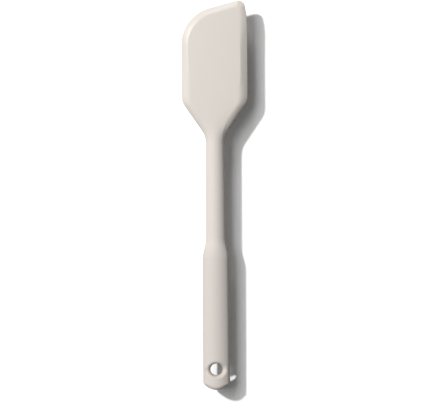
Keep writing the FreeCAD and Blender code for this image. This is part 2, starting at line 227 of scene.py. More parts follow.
# Where the oval's edge columns end, as a share of its end arc's radius
OVAL_SPLIT = 0.45

# Where the oval's bevel columns end, as a share of the way in to its long arc
OVAL_REACH = 0.85

# Most that the lip's edge rounding takes of half its thickness, and the end's of the height there
LIP_EDGE_MOST = 0.8
END_EDGE_MOST = 0.7

# Reach of the bevel's columns over the end's edge, in its radii
END_EDGE_MARGIN = 1.1

# Where the handle's end wall starts to fade into the oval, and over what run, as shares of the end's depth
WALL_START = 0.35
WALL_FADE = 0.75

# Reach of the hang hole's patch along the handle past the bore, in mouth radii
PATCH_MARGIN = 1.6

# How late the blade thins towards the tip
THINNING_POWER = 2.5

# Where the lip's polish starts to fade, as a share of the bevel's columns
POLISH_FADE = 0.5

# Length over which the painted shade over the handle fades out, ending at the front of the handle core
PAINTED_SHADE_FADE = 0.012

# Half widths of the mould's parting line, where it is highest and where it ends
PARTING_TOP = 0.00008
PARTING_FOOT = 0.00022

# Distance below which two vertices are one, length below which an edge is none, and digits kept of a place
MERGE_DISTANCE = 2e-6
LEAST_EDGE = 1e-7
MERGE_DIGITS = 7

# Colours of the floor: as it lights the object, and as the camera and reflections see it
FLOOR_LIT = (0.35, 0.35, 0.345)
FLOOR_SEEN = (1.25, 1.25, 1.25)

# Direction behind a lamp that shines straight down
STRAIGHT_UP = Vector((0.0, 0.0, 1.0))


def ease(share):
    """Ease from 0 to 1 with no slope at either end."""
    share = np.clip(share, 0.0, 1.0)
    return share * share * (3 - 2 * share)


def mix(first, second, share):
    """Part of the way from the first to the second."""
    return first + (second - first) * share


def shares(count):
    """Evenly spaced shares after 0, up to and with 1."""
    return np.arange(1, count + 1) / count


def steps(count):
    """Evenly spaced shares from 0, short of 1."""
    return np.arange(count) / count


def chord(radius, distance):
    """Half chord of a circle at a distance from its middle, and 0 outside the circle."""
    return np.sqrt(np.maximum(radius ** 2 - distance ** 2, 0))


def lifted(spot, height):
    """Points from their places in plan and their heights."""
    return np.concatenate([spot, height[..., None]], axis=2)


def bend(centre, radius, start, stop, share):
    """Points on an arc, from one direction to another, at shares of its angle."""
    turn = mix(start, stop, share)
    return np.stack([centre[0] + radius * np.cos(turn), centre[1] + radius * np.sin(turn)], axis=1)


def run(start, stop, share):
    """Points on a straight line at shares of its length."""
    return mix(np.asarray(start)[None], np.asarray(stop)[None], share[:, None])


def facing(turn):
    """Direction in plan at an angle from across the blade."""
    return np.array([math.cos(turn), math.sin(turn)])


def meet(first, second, first_inset, second_inset):
    """Corner of two sides, each a point and an outward direction, set in along that direction."""
    outward = np.array([first[1], second[1]])
    reach = np.sum(outward * (first[0], second[0]), axis=1) - (first_inset, second_inset)
    return np.linalg.solve(outward, reach)


class SkinPlan:
    """Places and formulas of the silicone skin, about its middle plane."""

    def __init__(self, blade, stem):
        self.blade = blade
        self.stem = stem
        self.half_blade = blade.width / 2
        self.half_neck = stem.shaft_width_neck / 2
        self.y_end = -stem.length / 2
        self.y_tip = stem.length / 2
        self.y_base = self.y_tip - blade.length
        self.y_front = self.y_end + stem.handle_length
        self.y_flare = self.y_front + stem.flare_length
        self.y_eye = self.y_end + stem.eye_length
        self.y_hole = self.y_end + stem.hole_from_end
        slant = math.tan(stem.shoulder_angle)
        self.arc_drop = 1 - math.cos(stem.shoulder_angle)
        radii = stem.shoulder_radius + stem.neck_radius
        straight = self.half_blade - self.half_neck - radii * self.arc_drop
        self.y_shoulder = self.y_base - stem.shoulder_radius * math.sin(stem.shoulder_angle)
        self.y_neck_top = self.y_shoulder - straight / slant
        self.y_neck = self.y_neck_top - stem.neck_radius * math.sin(stem.shoulder_angle)

        self.top_turn = math.pi / 2 + blade.top_slope
        y_bend = self.y_tip - blade.tip_run
        x_bend = self.half_blade - (y_bend - self.y_base) * math.tan(blade.side_lean)
        x_crease = x_bend - blade.lip_right / math.cos(blade.side_lean)
        self.right_side = ((self.half_blade, self.y_base), facing(blade.side_lean))
        self.tip_side = ((x_bend, y_bend), facing(blade.tip_lean))
        self.crease_tip_side = ((x_crease, y_bend), facing(blade.crease_tip_lean))
        tip_y = self.y_tip - blade.tip_radius
        tip_in = blade.tip_radius + (tip_y - y_bend) * math.sin(blade.tip_lean)
        tip_x = x_bend - tip_in / math.cos(blade.tip_lean)
        top_out = facing(self.top_turn)
        self.top_side = (blade.tip_radius * top_out + (tip_x, tip_y), top_out)
        self.left_side = ((-self.half_blade, self.y_base), facing(math.pi))
        self.foot = ((0.0, self.y_base), facing(-math.pi / 2))

    def half_width(self, y):
        """Half width: straight end, tapered handle, eased flare, shaft, neck arc, shoulder line and arc."""
        stem = self.stem
        handle = mix(stem.handle_width_rear, stem.handle_width_front,
                     np.maximum(y - self.y_eye, 0) / (self.y_front - self.y_eye)) / 2
        flare = mix(stem.handle_width_front, stem.shaft_width_handle, self.flaring(y)) / 2
        shaft = mix(stem.shaft_width_handle, stem.shaft_width_neck,
                    (y - self.y_flare) / (self.y_neck - self.y_flare)) / 2
        neck = self.half_neck + stem.neck_radius - chord(stem.neck_radius, y - self.y_neck)
        slant = (self.half_neck + stem.neck_radius * self.arc_drop
                 + (y - self.y_neck_top) * math.tan(stem.shoulder_angle))
        shoulder = self.half_blade - stem.shoulder_radius + chord(stem.shoulder_radius, self.y_base - y)
        limits = (self.y_front, self.y_flare, self.y_neck, self.y_neck_top, self.y_shoulder)
        return np.select([y <= limit for limit in limits], [handle, flare, shaft, neck, slant], shoulder)

    def flaring(self, y):
        """How far the bar has gone from the handle to the shaft, eased over the flare."""
        return ease((y - self.y_front) / self.stem.flare_length)

    def plate_thickness(self, y):
        """Half the thickness on the blade's axis: a straight taper that thins faster towards the tip."""
        along = (y - self.y_base) / self.blade.length
        taper = mix(self.blade.thickness_base, self.blade.thickness_tip, along)
        return (taper - self.blade.tip_thinning * np.maximum(along, 0) ** THINNING_POWER) / 2

    def crown_fall(self, x):
        """Fall of the blade's slightly crowned face at a distance from its axis, on a parabola."""
        return self.blade.crown * (x / self.half_blade) ** 2

    def lip_thickness(self, y):
        """Half the thickness of the lip's edge, on a straight taper along the blade."""
        return mix(self.blade.lip_base, self.blade.lip_tip, (y - self.y_base) / self.blade.length) / 2

    def flatness(self, y):
        """How far the section has gone from the shaft's oval to the blade's plate."""
        return ease((y - self.y_neck) / (self.y_base - self.y_neck))

    def oval_thickness(self, y):
        """Half the thickness of the bar: the handle's, the shaft's past the flare, then the plate's."""
        bar = mix(self.stem.handle_thickness, self.stem.shaft_thickness, self.flaring(y)) / 2
        return mix(bar, self.plate_thickness(y), self.flatness(y))

    def oval_parts(self, y):
        """Half axes of the four-arc oval at y, its end and long radii and where the two meet."""
        half = self.half_width(y)
        thick = self.oval_thickness(y)
        end = thick * mix(self.stem.handle_end_share, self.stem.shaft_end_share, self.flaring(y))
        long = (half * half + thick * thick - 2 * half * end) / (2 * (thick - end))
        meeting = np.arctan2(half - end, long - thick)
        return half, thick, end, long, half - end + end * np.sin(meeting)

    def oval_height(self, x, y):
        """Height of the oval above the middle plane: its long arc near the axis, its end arc outside."""
        half, thick, end, long, x_meet = self.oval_parts(y)
        x = np.abs(x)
        return np.where(x < x_meet, thick - long + chord(long, x), chord(end, x - half + end))


def bevel_shares():
    """Row of shares from 0 to 1 over the bevel, closer together at both ends."""
    even = shares(BEVEL_COLUMNS)
    return np.concatenate([[0.0], mix(even, ease(even), BEVEL_CROWDING)])[None]


def end_line(plan):
    """Edge of the handle's end in plan, from its middle to the handle's side.

    A broad arc runs into a corner arc that is tangent to it. Returns x, y and the turn of the line at
    places that are evenly spaced along it."""
    stem = plan.stem
    half = plan.half_width(plan.y_end) + stem.end_overhang
    radius = stem.end_side_radius
    depth = stem.end_depth
    nose = (half * half + depth * depth - 2 * half * radius) / (2 * (depth - radius))
    join = math.atan2(half - radius, nose - depth)
    stop = math.asin(1 - stem.end_overhang / radius)
    nose_length = nose * join
    along = np.arange(END_ROWS) / (END_ROWS - 1) * (nose_length + radius * (stop - join))
    on_nose = along <= nose_length
    turn = np.where(on_nose, along / nose, join + (along - nose_length) / radius)
    x = np.where(on_nose, nose * np.sin(turn), half - radius + radius * np.sin(turn))
    y = plan.y_end + np.where(on_nose, nose - nose * np.cos(turn), depth - radius * np.cos(turn))
    return x, y, turn


def stem_rows(plan):
    """Edge and crease lines of the rows from the handle's end to the foot of the blade.

    The edge follows the end's arcs, then the half width at each y. Returns y, the edge's x, the inward
    direction in plan on the right-hand side, which turns from along to across the handle over the end,
    how much of the end's upright wall a row has, how square that direction is to the wall, and the rows
    between which the hang hole lies."""
    stem = plan.stem
    x_end, y_end, turn = end_line(plan)
    patch = stem.hole_diameter / 2 + PATCH_MARGIN * stem.mouth_radius
    places = (y_end[-1], plan.y_hole - patch, plan.y_hole + patch, plan.y_front, plan.y_flare, plan.y_neck,
              plan.y_base)
    counts = (CORNER_ROWS, EYE_ROWS, HANDLE_ROWS, FLARE_ROWS, SHAFT_ROWS, NECK_ROWS)
    runs = zip(places, places[1:], counts)
    y_bar = np.concatenate([mix(start, stop, shares(count)) for start, stop, count in runs])

    y = np.concatenate([y_end, y_bar])
    x = np.concatenate([x_end, plan.half_width(y_bar)])
    lean = np.arccos(np.clip(1 - (y_end - plan.y_end) / (y_end[-1] - plan.y_end), 0, 1))
    square = np.concatenate([np.cos(turn - lean), np.ones(len(y_bar))])
    lean = np.concatenate([lean, np.full(len(y_bar), math.pi / 2)])
    wall = 1 - ease(((y - plan.y_end) / stem.end_depth - WALL_START) / WALL_FADE)
    inward = np.stack([-np.sin(lean), np.cos(lean)], axis=1)
    hole_rows = (END_ROWS + CORNER_ROWS - 1, END_ROWS + CORNER_ROWS + EYE_ROWS - 1)
    return y, x, inward, wall, square, hole_rows


def oval_profile(plan, y):
    """Distance in from the edge and height of the oval's side, which is its end arc."""
    half, _, end, _, x_meet = plan.oval_parts(y)
    split = math.asin(OVAL_SPLIT)
    up = split * steps(EDGE_COLUMNS)
    edge_in = end[:, None] * (1 - np.cos(up))
    edge_z = end[:, None] * np.sin(up)
    start = end * (1 - math.cos(split))
    reach = OVAL_REACH * (half - x_meet)
    bevel_in = mix(start[:, None], reach[:, None], bevel_shares())
    bevel_z = plan.oval_height(half[:, None] - bevel_in, y[:, None])
    return np.hstack([edge_in, bevel_in]), np.hstack([edge_z, bevel_z])


def crease_softness(plan, width, foot):
    """Reach of the crease's rounding as a share of the bevel's width, from the tip's to the foot's."""
    return (mix(plan.blade.crease_tip, plan.blade.crease_base, foot) / width)[:, None]


def plate_profile(plan, lip, rise, width, foot):
    """Columns of the plate's side: their shares of the way from edge to crease, and the edge's heights.

    The edge goes straight up to an arc of the edge radius, which is tangent to it and to the bevel. The
    bevel's columns run on from there to where the crease's rounding ends."""
    radius = np.minimum(plan.blade.edge_radius, LIP_EDGE_MOST * lip)[:, None]
    steep = np.arctan2(rise, width)[:, None]
    centre = lip[:, None] + radius * np.tan(steep) - radius / np.cos(steep)
    straight = EDGE_COLUMNS // 2
    rounded = EDGE_COLUMNS - straight
    climb = centre * steps(straight)
    turn = mix(math.pi, math.pi / 2 + steep, steps(rounded))
    edge_in = np.hstack([np.zeros_like(climb), radius + radius * np.cos(turn)])
    edge_z = np.hstack([climb, centre + radius * np.sin(turn)])
    start = (radius - radius * np.sin(steep)) / width[:, None]
    bevel = mix(start, 1 + crease_softness(plan, width, foot), bevel_shares())
    return np.hstack([edge_in / width[:, None], bevel]), edge_z


def bevel_height(plan, share, width, foot):
    """Height of the bevel as a share of its rise: a slight swell, eased by a parabola into the flat."""
    soft = crease_softness(plan, width, foot)
    share = np.minimum(share, 1 + soft)
    height = share - np.maximum(share - 1 + soft, 0) ** 2 / (4 * soft)
    bulge = mix(plan.blade.bulge_tip, plan.blade.bulge_base, foot)[:, None]
    return height + bulge * share * (1 - height)


def end_fall(plan, y, x, distance):
    """Fall of the quarter-round edge on top of the handle's end wall, at a distance in from the wall."""
    radius = np.minimum(plan.stem.end_edge_radius, END_EDGE_MOST * plan.oval_height(x, y))[:, None]
    return radius - chord(radius, np.maximum(radius - distance, 0))


def end_profile(plan, y, x, inward, square):
    """Distance in and height at the handle's upright end wall, with a quarter-round edge along its top."""
    bevel_in = np.repeat(END_EDGE_MARGIN * plan.stem.end_edge_radius * bevel_shares(), len(y), axis=0)
    at_x = x[:, None] + inward[:, :1] * bevel_in
    at_y = y[:, None] + inward[:, 1:] * bevel_in
    bevel_z = plan.oval_height(at_x, at_y) - end_fall(plan, y, x, bevel_in * square)
    upright = bevel_z[:, :1] * steps(EDGE_COLUMNS)
    return np.hstack([np.zeros_like(upright), bevel_in]), np.hstack([upright, bevel_z])


def stem_side(plan, y, x, inward, wall, square, lip_width):
    """Points of one side of the stem, from the middle plane at the edge to past the crease, on the right.

    The bar's side is the oval's, and the end wall's at the handle's end. Over the neck and shoulders it
    is blended by the row's flatness into the plate's side, as wide and swollen as at the blade's foot."""
    flat = plan.flatness(y)[:, None]
    wall = wall[:, None]
    square = square[:, None]
    oval_in, oval_z = oval_profile(plan, y)
    wall_in, wall_z = end_profile(plan, y, x, inward, square)
    width = np.full(len(y), lip_width * (1 + plan.blade.spread_base))
    lip = np.full(len(y), plan.lip_thickness(plan.y_base))
    foot = np.ones(len(y))
    thick = plan.oval_thickness(y)
    across, edge_z = plate_profile(plan, lip, thick - lip, width, foot)
    distance = mix(mix(oval_in, wall_in, wall), across * width[:, None], flat)
    spot = np.stack([x[:, None] + inward[:, :1] * distance, y[:, None] + inward[:, 1:] * distance], axis=2)

    bevel = distance[:, EDGE_COLUMNS:]
    bevel_x = spot[:, EDGE_COLUMNS:, 0]
    bevel_y = spot[:, EDGE_COLUMNS:, 1]
    top = thick[:, None] - plan.crown_fall(bevel_x) * flat
    rise = bevel_height(plan, bevel / width[:, None], width, foot)
    plate_z = np.hstack([edge_z, mix(lip[:, None], top, rise)])
    bar_z = np.hstack([
        mix(oval_z, wall_z, wall)[:, :EDGE_COLUMNS],
        plan.oval_height(bevel_x, bevel_y) - wall * end_fall(plan, y, x, bevel * square),
    ])
    bar_z = np.where(flat > 0, plan.oval_height(spot[..., 0], y[:, None]), bar_z)
    return lifted(spot, mix(bar_z, plate_z, flat))


def bent_side(start, centre, radius, first_turn, second_turn, stop, share):
    """Points at shares of a side's length: straight, round an arc tangent at both ends, straight."""
    on = centre + radius * facing(first_turn)
    off = centre + radius * facing(second_turn)
    before = np.linalg.norm(on - start)
    arc = radius * (second_turn - first_turn)
    along = share * (before + arc + np.linalg.norm(stop - off))
    past = along - before - arc
    straight = start + along[:, None] * (on - start) / before
    rounded = bend(centre, radius, first_turn, second_turn, (along - before) / arc)
    rest = off + past[:, None] * facing(second_turn + math.pi / 2)
    return np.where((along <= before)[:, None], straight, np.where((past <= 0)[:, None], rounded, rest))


def blade_lines(plan, insets, tip_side, tip_turn, radii):
    """Left and right lines of the blade, set in by (left, top, right), row by row up to the tip's middle.

    The left line runs up the side, round the corner arc, along the top edge and half way round the tip.
    The right line runs up its side and round the broad bend to the tip, in step with the left line's
    length, and half way round the tip. The radii are those of the bend, the tip and the round corner."""
    left_in, top_in, right_in = insets
    bend_radius, tip_radius, corner_radius = radii
    corner = meet(plan.left_side, plan.top_side, left_in + corner_radius, top_in + corner_radius)
    tip = meet(plan.top_side, tip_side, top_in + tip_radius, tip_radius)
    broad = meet(plan.right_side, tip_side, right_in + bend_radius, bend_radius)
    half_tip = (plan.top_turn + tip_turn) / 2
    top_out = facing(plan.top_turn)
    top_start = corner + corner_radius * top_out
    top_stop = tip + tip_radius * top_out
    left_foot = meet(plan.left_side, plan.foot, left_in, 0)
    left = np.concatenate([
        run(left_foot, (left_foot[0], corner[1]), shares(SIDE_ROWS)),
        bend(corner, corner_radius, math.pi, plan.top_turn, shares(ARC_ROWS)),
        run(top_start, top_stop, shares(TOP_ROWS)),
        bend(tip, tip_radius, plan.top_turn, half_tip, shares(TIP_ROWS)),
    ])
    arc_length = corner_radius * (math.pi - plan.top_turn)
    top_length = np.linalg.norm(top_stop - top_start)
    arc_share = arc_length / (arc_length + top_length)
    right_foot = meet(plan.right_side, plan.foot, right_in, 0)
    right_stop = tip + tip_radius * facing(tip_turn)
    level = (corner[1] - plan.y_base) / (right_stop[1] - plan.y_base)
    side = np.concatenate([
        level * shares(SIDE_ROWS),
        mix(level, 1.0, arc_share * shares(ARC_ROWS)),
        mix(level, 1.0, mix(arc_share, 1.0, shares(TOP_ROWS))),
    ])
    right = np.concatenate([
        bent_side(right_foot, broad, bend_radius, plan.blade.side_lean, tip_turn, right_stop, side),
        bend(tip, tip_radius, tip_turn, half_tip, shares(TIP_ROWS)),
    ])
    return left, right


def tip_blunting(plan, edge):
    """How blunt the right lip is: easing from 0 to 1 up the side, and back to 0 half way round the tip."""
    reach = plan.blade.blunt_reach
    up = ease((edge[:, 1] - plan.y_tip + reach) / (reach - plan.blade.blunt_full))
    round_tip = np.arange(1 - len(edge), 1) / TIP_ROWS + 1
    return up * (1 - ease(round_tip))


def blade_side(plan, edge, crease, blunt, swell):
    """Points of one side of the blade, from the middle plane at the edge to past the crease.

    Where the side is blunt its lip is thicker, and its bevel is as round as at the shoulders. The bevel's
    swell and its added width ease away over the given length above the shoulders."""
    width = np.linalg.norm(crease - edge, axis=1)
    lip = plan.lip_thickness(edge[:, 1]) + plan.blade.tip_blunt * blunt
    rise = plan.plate_thickness(crease[:, 1]) - plan.crown_fall(crease[:, 0]) - lip
    foot = 1 - ease((edge[:, 1] - plan.y_base) / swell)
    rounding = np.maximum(foot, blunt)
    across, edge_z = plate_profile(plan, lip, rise, width, rounding)
    widened = 1 + plan.blade.spread_base * foot[:, None]
    spot = mix(edge[:, None], crease[:, None], (across * widened)[..., None])
    bevel = spot[:, EDGE_COLUMNS:]
    top = plan.plate_thickness(bevel[..., 1]) - plan.crown_fall(bevel[..., 0])
    bevel_z = mix(lip[:, None], top, bevel_height(plan, across[:, EDGE_COLUMNS:], width, rounding))
    return lifted(spot, np.hstack([edge_z, bevel_z]))


def skin_top(plan):
    """Grid of the skin's upper half, row by row from the handle's end to the tip, edge to edge.

    Each row goes up the right edge, over its bevel, across the flat, and down the left bevel and edge. On
    the stem the flat follows the oval's long arc, blended into the crowned plate by the row's flatness."""
    blade = plan.blade
    y, x, inward, wall, square, hole_rows = stem_rows(plan)
    right_stem = stem_side(plan, y, x, inward, wall, square, blade.lip_right)
    left_stem = stem_side(plan, y, x, inward, wall, square, blade.lip_left) * (-1, 1, 1)
    edge_radii = (blade.side_radius, blade.tip_radius, blade.corner_radius)
    crease_corner = blade.corner_radius - (blade.lip_left + blade.lip_top) / 2
    crease_radii = (blade.side_radius, blade.crease_tip_radius, crease_corner)
    lip_widths = (blade.lip_left, blade.lip_top, blade.lip_right)
    edge_left, edge_right = blade_lines(plan, (0, 0, 0), plan.tip_side, blade.tip_lean, edge_radii)
    crease_left, crease_right = blade_lines(plan, lip_widths, plan.crease_tip_side, blade.crease_tip_lean,
                                            crease_radii)
    blunt = tip_blunting(plan, edge_right)
    right_blade = blade_side(plan, edge_right, crease_right, blunt, blade.swell_right)
    left_blade = blade_side(plan, edge_left, crease_left, np.zeros(len(edge_left)), blade.swell_left)
    right = np.concatenate([right_stem, right_blade])
    left = np.concatenate([left_stem, left_blade])

    across = shares(FLAT_COLUMNS)[:-1]
    spot = mix(right[:, -1:, :2], left[:, -1:, :2], across[None, :, None])
    flat_y = spot[..., 1]
    flat = plan.flatness(flat_y)
    bar_y = np.minimum(flat_y, plan.y_base)
    oval = plan.oval_height(spot[..., 0], bar_y)
    plate = np.where(flat_y < plan.y_base, plan.oval_thickness(bar_y), plan.plate_thickness(flat_y))
    plate = plate - plan.crown_fall(spot[..., 0]) * flat
    middle = lifted(spot, mix(oval, plate, flat))
    return np.concatenate([right, middle, left[:, ::-1]], axis=1), hole_rows


def lip_polish(plan, top):
    """How far each vertex lies on the smooth lip: 1 on the bevel, fading at crease and shoulders."""
    inner = np.arange(top.shape[1]) - EDGE_COLUMNS
    columns = 1 - ease((inner / BEVEL_COLUMNS - POLISH_FADE) / (1 - POLISH_FADE))
    columns = np.maximum(columns, columns[::-1])
    above = top[..., 1] - plan.y_base - plan.blade.polish_start
    return columns[None] * ease(above / plan.blade.polish_reach)


def grid_faces(index):
    """Quads between neighbouring rows and columns of a grid of vertex numbers."""
    corners = [index[:-1, :-1], index[:-1, 1:], index[1:, 1:], index[1:, :-1]]
    return np.stack(corners, axis=-1).reshape(-1, 4)


def hole_patch(plan, loop):
    """Grid from a loop on the handle's upper face, down through the hang hole, to its mirror below.

    The mouth is the track of a ball of the mouth radius that rolls round the bore, touching its wall and
    the oval from inside. On each ball the mouth's line is the shortest arc from one touch to the other,
    drawn out downwards by the square of the way along it. Rings run straight from the loop to the outer
    touch, on the oval's height, and then along those arcs. The bore's wall runs to the middle plane, and
    the lower half is mirrored."""
    stem = plan.stem
    radius = stem.hole_diameter / 2
    mouth = stem.mouth_radius
    centre = np.array([0.0, plan.y_hole])
    out = loop[:, :2] - centre
    out /= np.linalg.norm(out, axis=1)[:, None]
    ball = centre + out * (radius + mouth)
    half, thick, end, long, x_meet = plan.oval_parts(ball[:, 1])
    across = np.abs(ball[:, 0])
    on_end = across > (long - mouth) * (x_meet - half + end) / end
    lean = np.where(on_end, (across - half + end) / (end - mouth), across / (long - mouth))
    upright = np.sqrt(1 - lean ** 2)
    height = np.where(on_end, (end - mouth) * upright, thick - long + (long - mouth) * upright)
    face = np.column_stack([lean * np.sign(ball[:, 0]), np.zeros_like(lean), upright])
    ball = np.column_stack([ball, height])
    wall = np.column_stack([-out, np.zeros_like(lean)])
    span = np.arccos(np.sum(face * wall, axis=1))[None, :, None]
    turn = np.arange(MOUTH_ROWS + 1)[:, None, None] / MOUTH_ROWS
    touch = (np.sin((1 - turn) * span) * face + np.sin(turn * span) * wall) / np.sin(span)
    mouth_rows = ball + mouth * touch
    mouth_rows[..., 2] -= stem.mouth_sink * turn[..., 0] ** 2

    spread = mix(loop[None, :, :2], mouth_rows[:1, :, :2], steps(PATCH_ROWS)[:, None, None])
    height = plan.oval_height(spread[..., 0], spread[..., 1])
    height[0] = loop[:, 2]
    face_rows = lifted(spread, height)
    bore_rows = np.repeat(mouth_rows[-1:], BORE_ROWS, axis=0)
    bore_rows[..., 2] *= 1 - shares(BORE_ROWS)[:, None]
    upper = np.concatenate([face_rows, mouth_rows, bore_rows])
    lower = upper[-2::-1] * (1, 1, -1)
    return np.concatenate([upper, lower])


def skin_mesh(plan):
    """Vertices, quads and polish of the closed outer skin: the upper half, its mirror and the hang hole."""
    top, (first, last) = skin_top(plan)
    rows, columns = top.shape[:2]
    under = top * (1, 1, -1)
    side = EDGE_COLUMNS + BEVEL_COLUMNS
    right, left = side, columns - 1 - side

    top_index = np.arange(rows * columns).reshape(rows, columns)
    keep = np.ones((rows - 1, columns - 1), bool)
    keep[first:last, right:left] = False
    top_faces = grid_faces(top_index)[keep.ravel()]
    under_faces = top_faces[:, ::-1] + rows * columns

    loop = np.concatenate([
        top[first, right:left],
        top[first:last, left],
        top[last, left:right:-1],
        top[last:first:-1, right],
    ])
    patch = hole_patch(plan, loop)
    patch = np.concatenate([patch, patch[:, :1]], axis=1)
    patch_size = patch.shape[0] * patch.shape[1]
    patch_index = np.arange(patch_size).reshape(patch.shape[:2]) + 2 * rows * columns

    points = np.concatenate([grid.reshape(-1, 3) for grid in (top, under, patch)]) + (0, 0, mid_height)
    polish = lip_polish(plan, top).ravel()
    polish = np.concatenate([polish, polish, np.zeros(patch_size)])
    faces = np.concatenate([top_faces, under_faces, grid_faces(patch_index)])
    used, faces = np.unique(faces, return_inverse=True)
    return points[used], faces.reshape(-1, 4), polish[used]


def cavity_mesh(node):
    """Vertices and triangles of the hollow inside a CAD node: its merged mesh without its outer shell.

    Every corner starts with its own number, and each pass gives the corners of a triangle their lowest,
    until the numbers stand still and each closed shell has one. The outer shell reaches furthest."""
    source = node.data
    source.calc_loop_triangles()
    points = np.empty(len(source.vertices) * 3, np.float32)
    source.vertices.foreach_get("co", points)
    corners = np.empty(len(source.loop_triangles) * 3, np.int32)
    source.loop_triangles.foreach_get("vertices", corners)
    points = np.round(points.reshape(-1, 3), MERGE_DIGITS)
    spots, merged = np.unique(points, axis=0, return_inverse=True)
    triangles = merged.reshape(-1)[corners].reshape(-1, 3)
    label = np.arange(len(spots))
    while True:
        lowest = label.copy()
        np.minimum.at(lowest, triangles.ravel(), np.repeat(label[triangles].min(axis=1), 3))
        lowest = lowest[lowest]
        if np.array_equal(lowest, label):
            break
        label = lowest
    outer = label[np.argmax(spots[:, 1])]
    inner = triangles[label[triangles[:, 0]] != outer]
    used, inner = np.unique(inner, return_inverse=True)
    return spots[used], inner.reshape(-1, 3)


def new_piece(name, points, faces, polish, material):
    """Object at the origin from arrays of vertices, faces and polish, merged and smooth."""
    mesh = bpy.data.meshes.new(name)
    mesh.from_pydata(points, [], faces)
    mesh.materials.append(material)
    mesh.attributes.new("lip", "FLOAT", "POINT").data.foreach_set("value", polish)
    work = bmesh.new()
    work.from_mesh(mesh)
    bmesh.ops.remove_doubles(work, verts=work.verts, dist=MERGE_DISTANCE)
    bmesh.ops.dissolve_degenerate(work, edges=work.edges, dist=LEAST_EDGE)
    work.to_mesh(mesh)
    work.free()
    mesh.polygons.foreach_set("use_smooth", np.ones(len(mesh.polygons), bool))
    mesh.update()
    piece = bpy.data.objects.new(name, mesh)
    bpy.context.scene.collection.objects.link(piece)
    return piece


class Wire:
    """Shader socket on which Python arithmetic adds Math nodes."""

    def __init__(self, tree, socket):
        self.tree = tree
        self.socket = socket

    def node(self, kind, settings, inputs, output=0):
        """New node of a kind: its settings are set first, then the values or links of its sockets."""
        made = self.tree.nodes.new(kind)
        for name, value in settings.items():
            setattr(made, name, value)
        for name, value in inputs.items():
            if isinstance(value, Wire):
                self.tree.links.new(value.socket, made.inputs[name])
            else:
                made.inputs[name].default_value = value
        return Wire(self.tree, made.outputs[output])

    def maths(self, operation, first, second):
        """Math node on two values."""
        return self.node("ShaderNodeMath", {"operation": operation}, {0: first, 1: second})

    def __add__(self, other):
        return self.maths("ADD", self, other)

    __radd__ = __add__

    def __sub__(self, other):
        return self.maths("SUBTRACT", self, other)

    def __rsub__(self, other):
        return self.maths("SUBTRACT", other, self)

    def __mul__(self, other):
        return self.maths("MULTIPLY", self, other)

    __rmul__ = __mul__

    def __abs__(self):
        return self.node("ShaderNodeMath", {"operation": "ABSOLUTE"}, {0: self})

    def band(self, low, high):
        """Smooth step from 0 at low to 1 at high."""
        return self.node("ShaderNodeMapRange", {"interpolation_type": "SMOOTHSTEP"},
                         {"Value": self, "From Min": low, "From Max": high})

    def between(self, low, high):
        """Colour part of the way from low to high."""
        return self.node("ShaderNodeMix", {"data_type": "RGBA"},
                         {"Factor": self, 6: (*low, 1.0), 7: (*high, 1.0)}, 2)


def new_material(name, constants):
    """Material with its shader's constant sockets set. Returns it, the shader and a wire to start from."""
    material = bpy.data.materials.new(name)
    material.use_nodes = True
    tree = material.node_tree
    shader = tree.nodes["Principled BSDF"]
    for socket, value in constants.items():
        shader.inputs[socket].default_value = value
    return material, shader, Wire(tree, None)


def surface_place(start):
    """Object coordinates, which stay with the piece."""
    return start.node("ShaderNodeTexCoord", {}, {}, "Object")


def noise(spot, scale, detail):
    """Even noise on a place."""
    return spot.node("ShaderNodeTexNoise", {}, {"Vector": spot, "Scale": scale, "Detail": detail}, "Fac")


def feed(shader, socket, value):
    """Link a value to a socket of a shader."""
    value.tree.links.new(value.socket, shader.inputs[socket])


def bump(height, depth):
    """Normal from a height between 0 and 1 that stands for a depth in metres."""
    return height.node("ShaderNodeBump", {}, {"Strength": 1.0, "Distance": depth, "Height": height})


def silicone_material(finishes):
    """Matte moulded silicone: faint clouding, a fine satin grain, the thin line where the mould met, and
    painted shade over the handle.
    """
    material, shader, start = new_material("oat_silicone", {
        "Subsurface Weight": 0.2,
        "Subsurface Radius": (1.0, 0.85, 0.75),
        "Subsurface Scale": 0.0008,
        "IOR": 1.41,
        "Specular IOR Level": 0.25,
        "Coat Roughness": 0.35,
        "Coat IOR": 1.7,
    })
    shade_cloud, shade_mottle, painted_shade_weight = 0.25, 0.13, 0.6
    rough_cloud, rough_grain = 0.06, 0.05
    relief_grain, relief_mottle, relief_parting, relief_depth = 0.25, 0.3, 0.6, 0.00006
    spot = surface_place(start)
    cloud = noise(spot, scale=22.0, detail=3.0)
    grain = noise(spot, scale=1400.0, detail=2.0)
    mottle = noise(spot, scale=260.0, detail=4.0)
    along = spot.node("ShaderNodeSeparateXYZ", {}, {"Vector": spot}, "Y")
    height = spot.node("ShaderNodeSeparateXYZ", {}, {"Vector": spot}, "Z")
    # Painted shade: the colour darkens over the handle, up to the front of its core, for the light falling
    # off towards the handle's end
    painted_shade_mask = 1 - along.band(core_front - PAINTED_SHADE_FADE, core_front)
    parting = 1 - abs(height - mid_height).band(PARTING_TOP, PARTING_FOOT)
    shade = shade_cloud * cloud + shade_mottle * mottle + painted_shade_weight * painted_shade_mask
    relief = relief_grain * grain + relief_mottle * mottle + relief_parting * parting
    feed(shader, "Base Color", shade.between(finishes.silicone, finishes.silicone_clouds_and_painted_shade))
    feed(shader, "Roughness", finishes.silicone_roughness + rough_cloud * cloud + rough_grain * grain)
    feed(shader, "Coat Weight", spot.node("ShaderNodeAttribute", {"attribute_name": "lip"}, {}, "Fac"))
    feed(shader, "Normal", bump(relief, relief_depth))
    return material


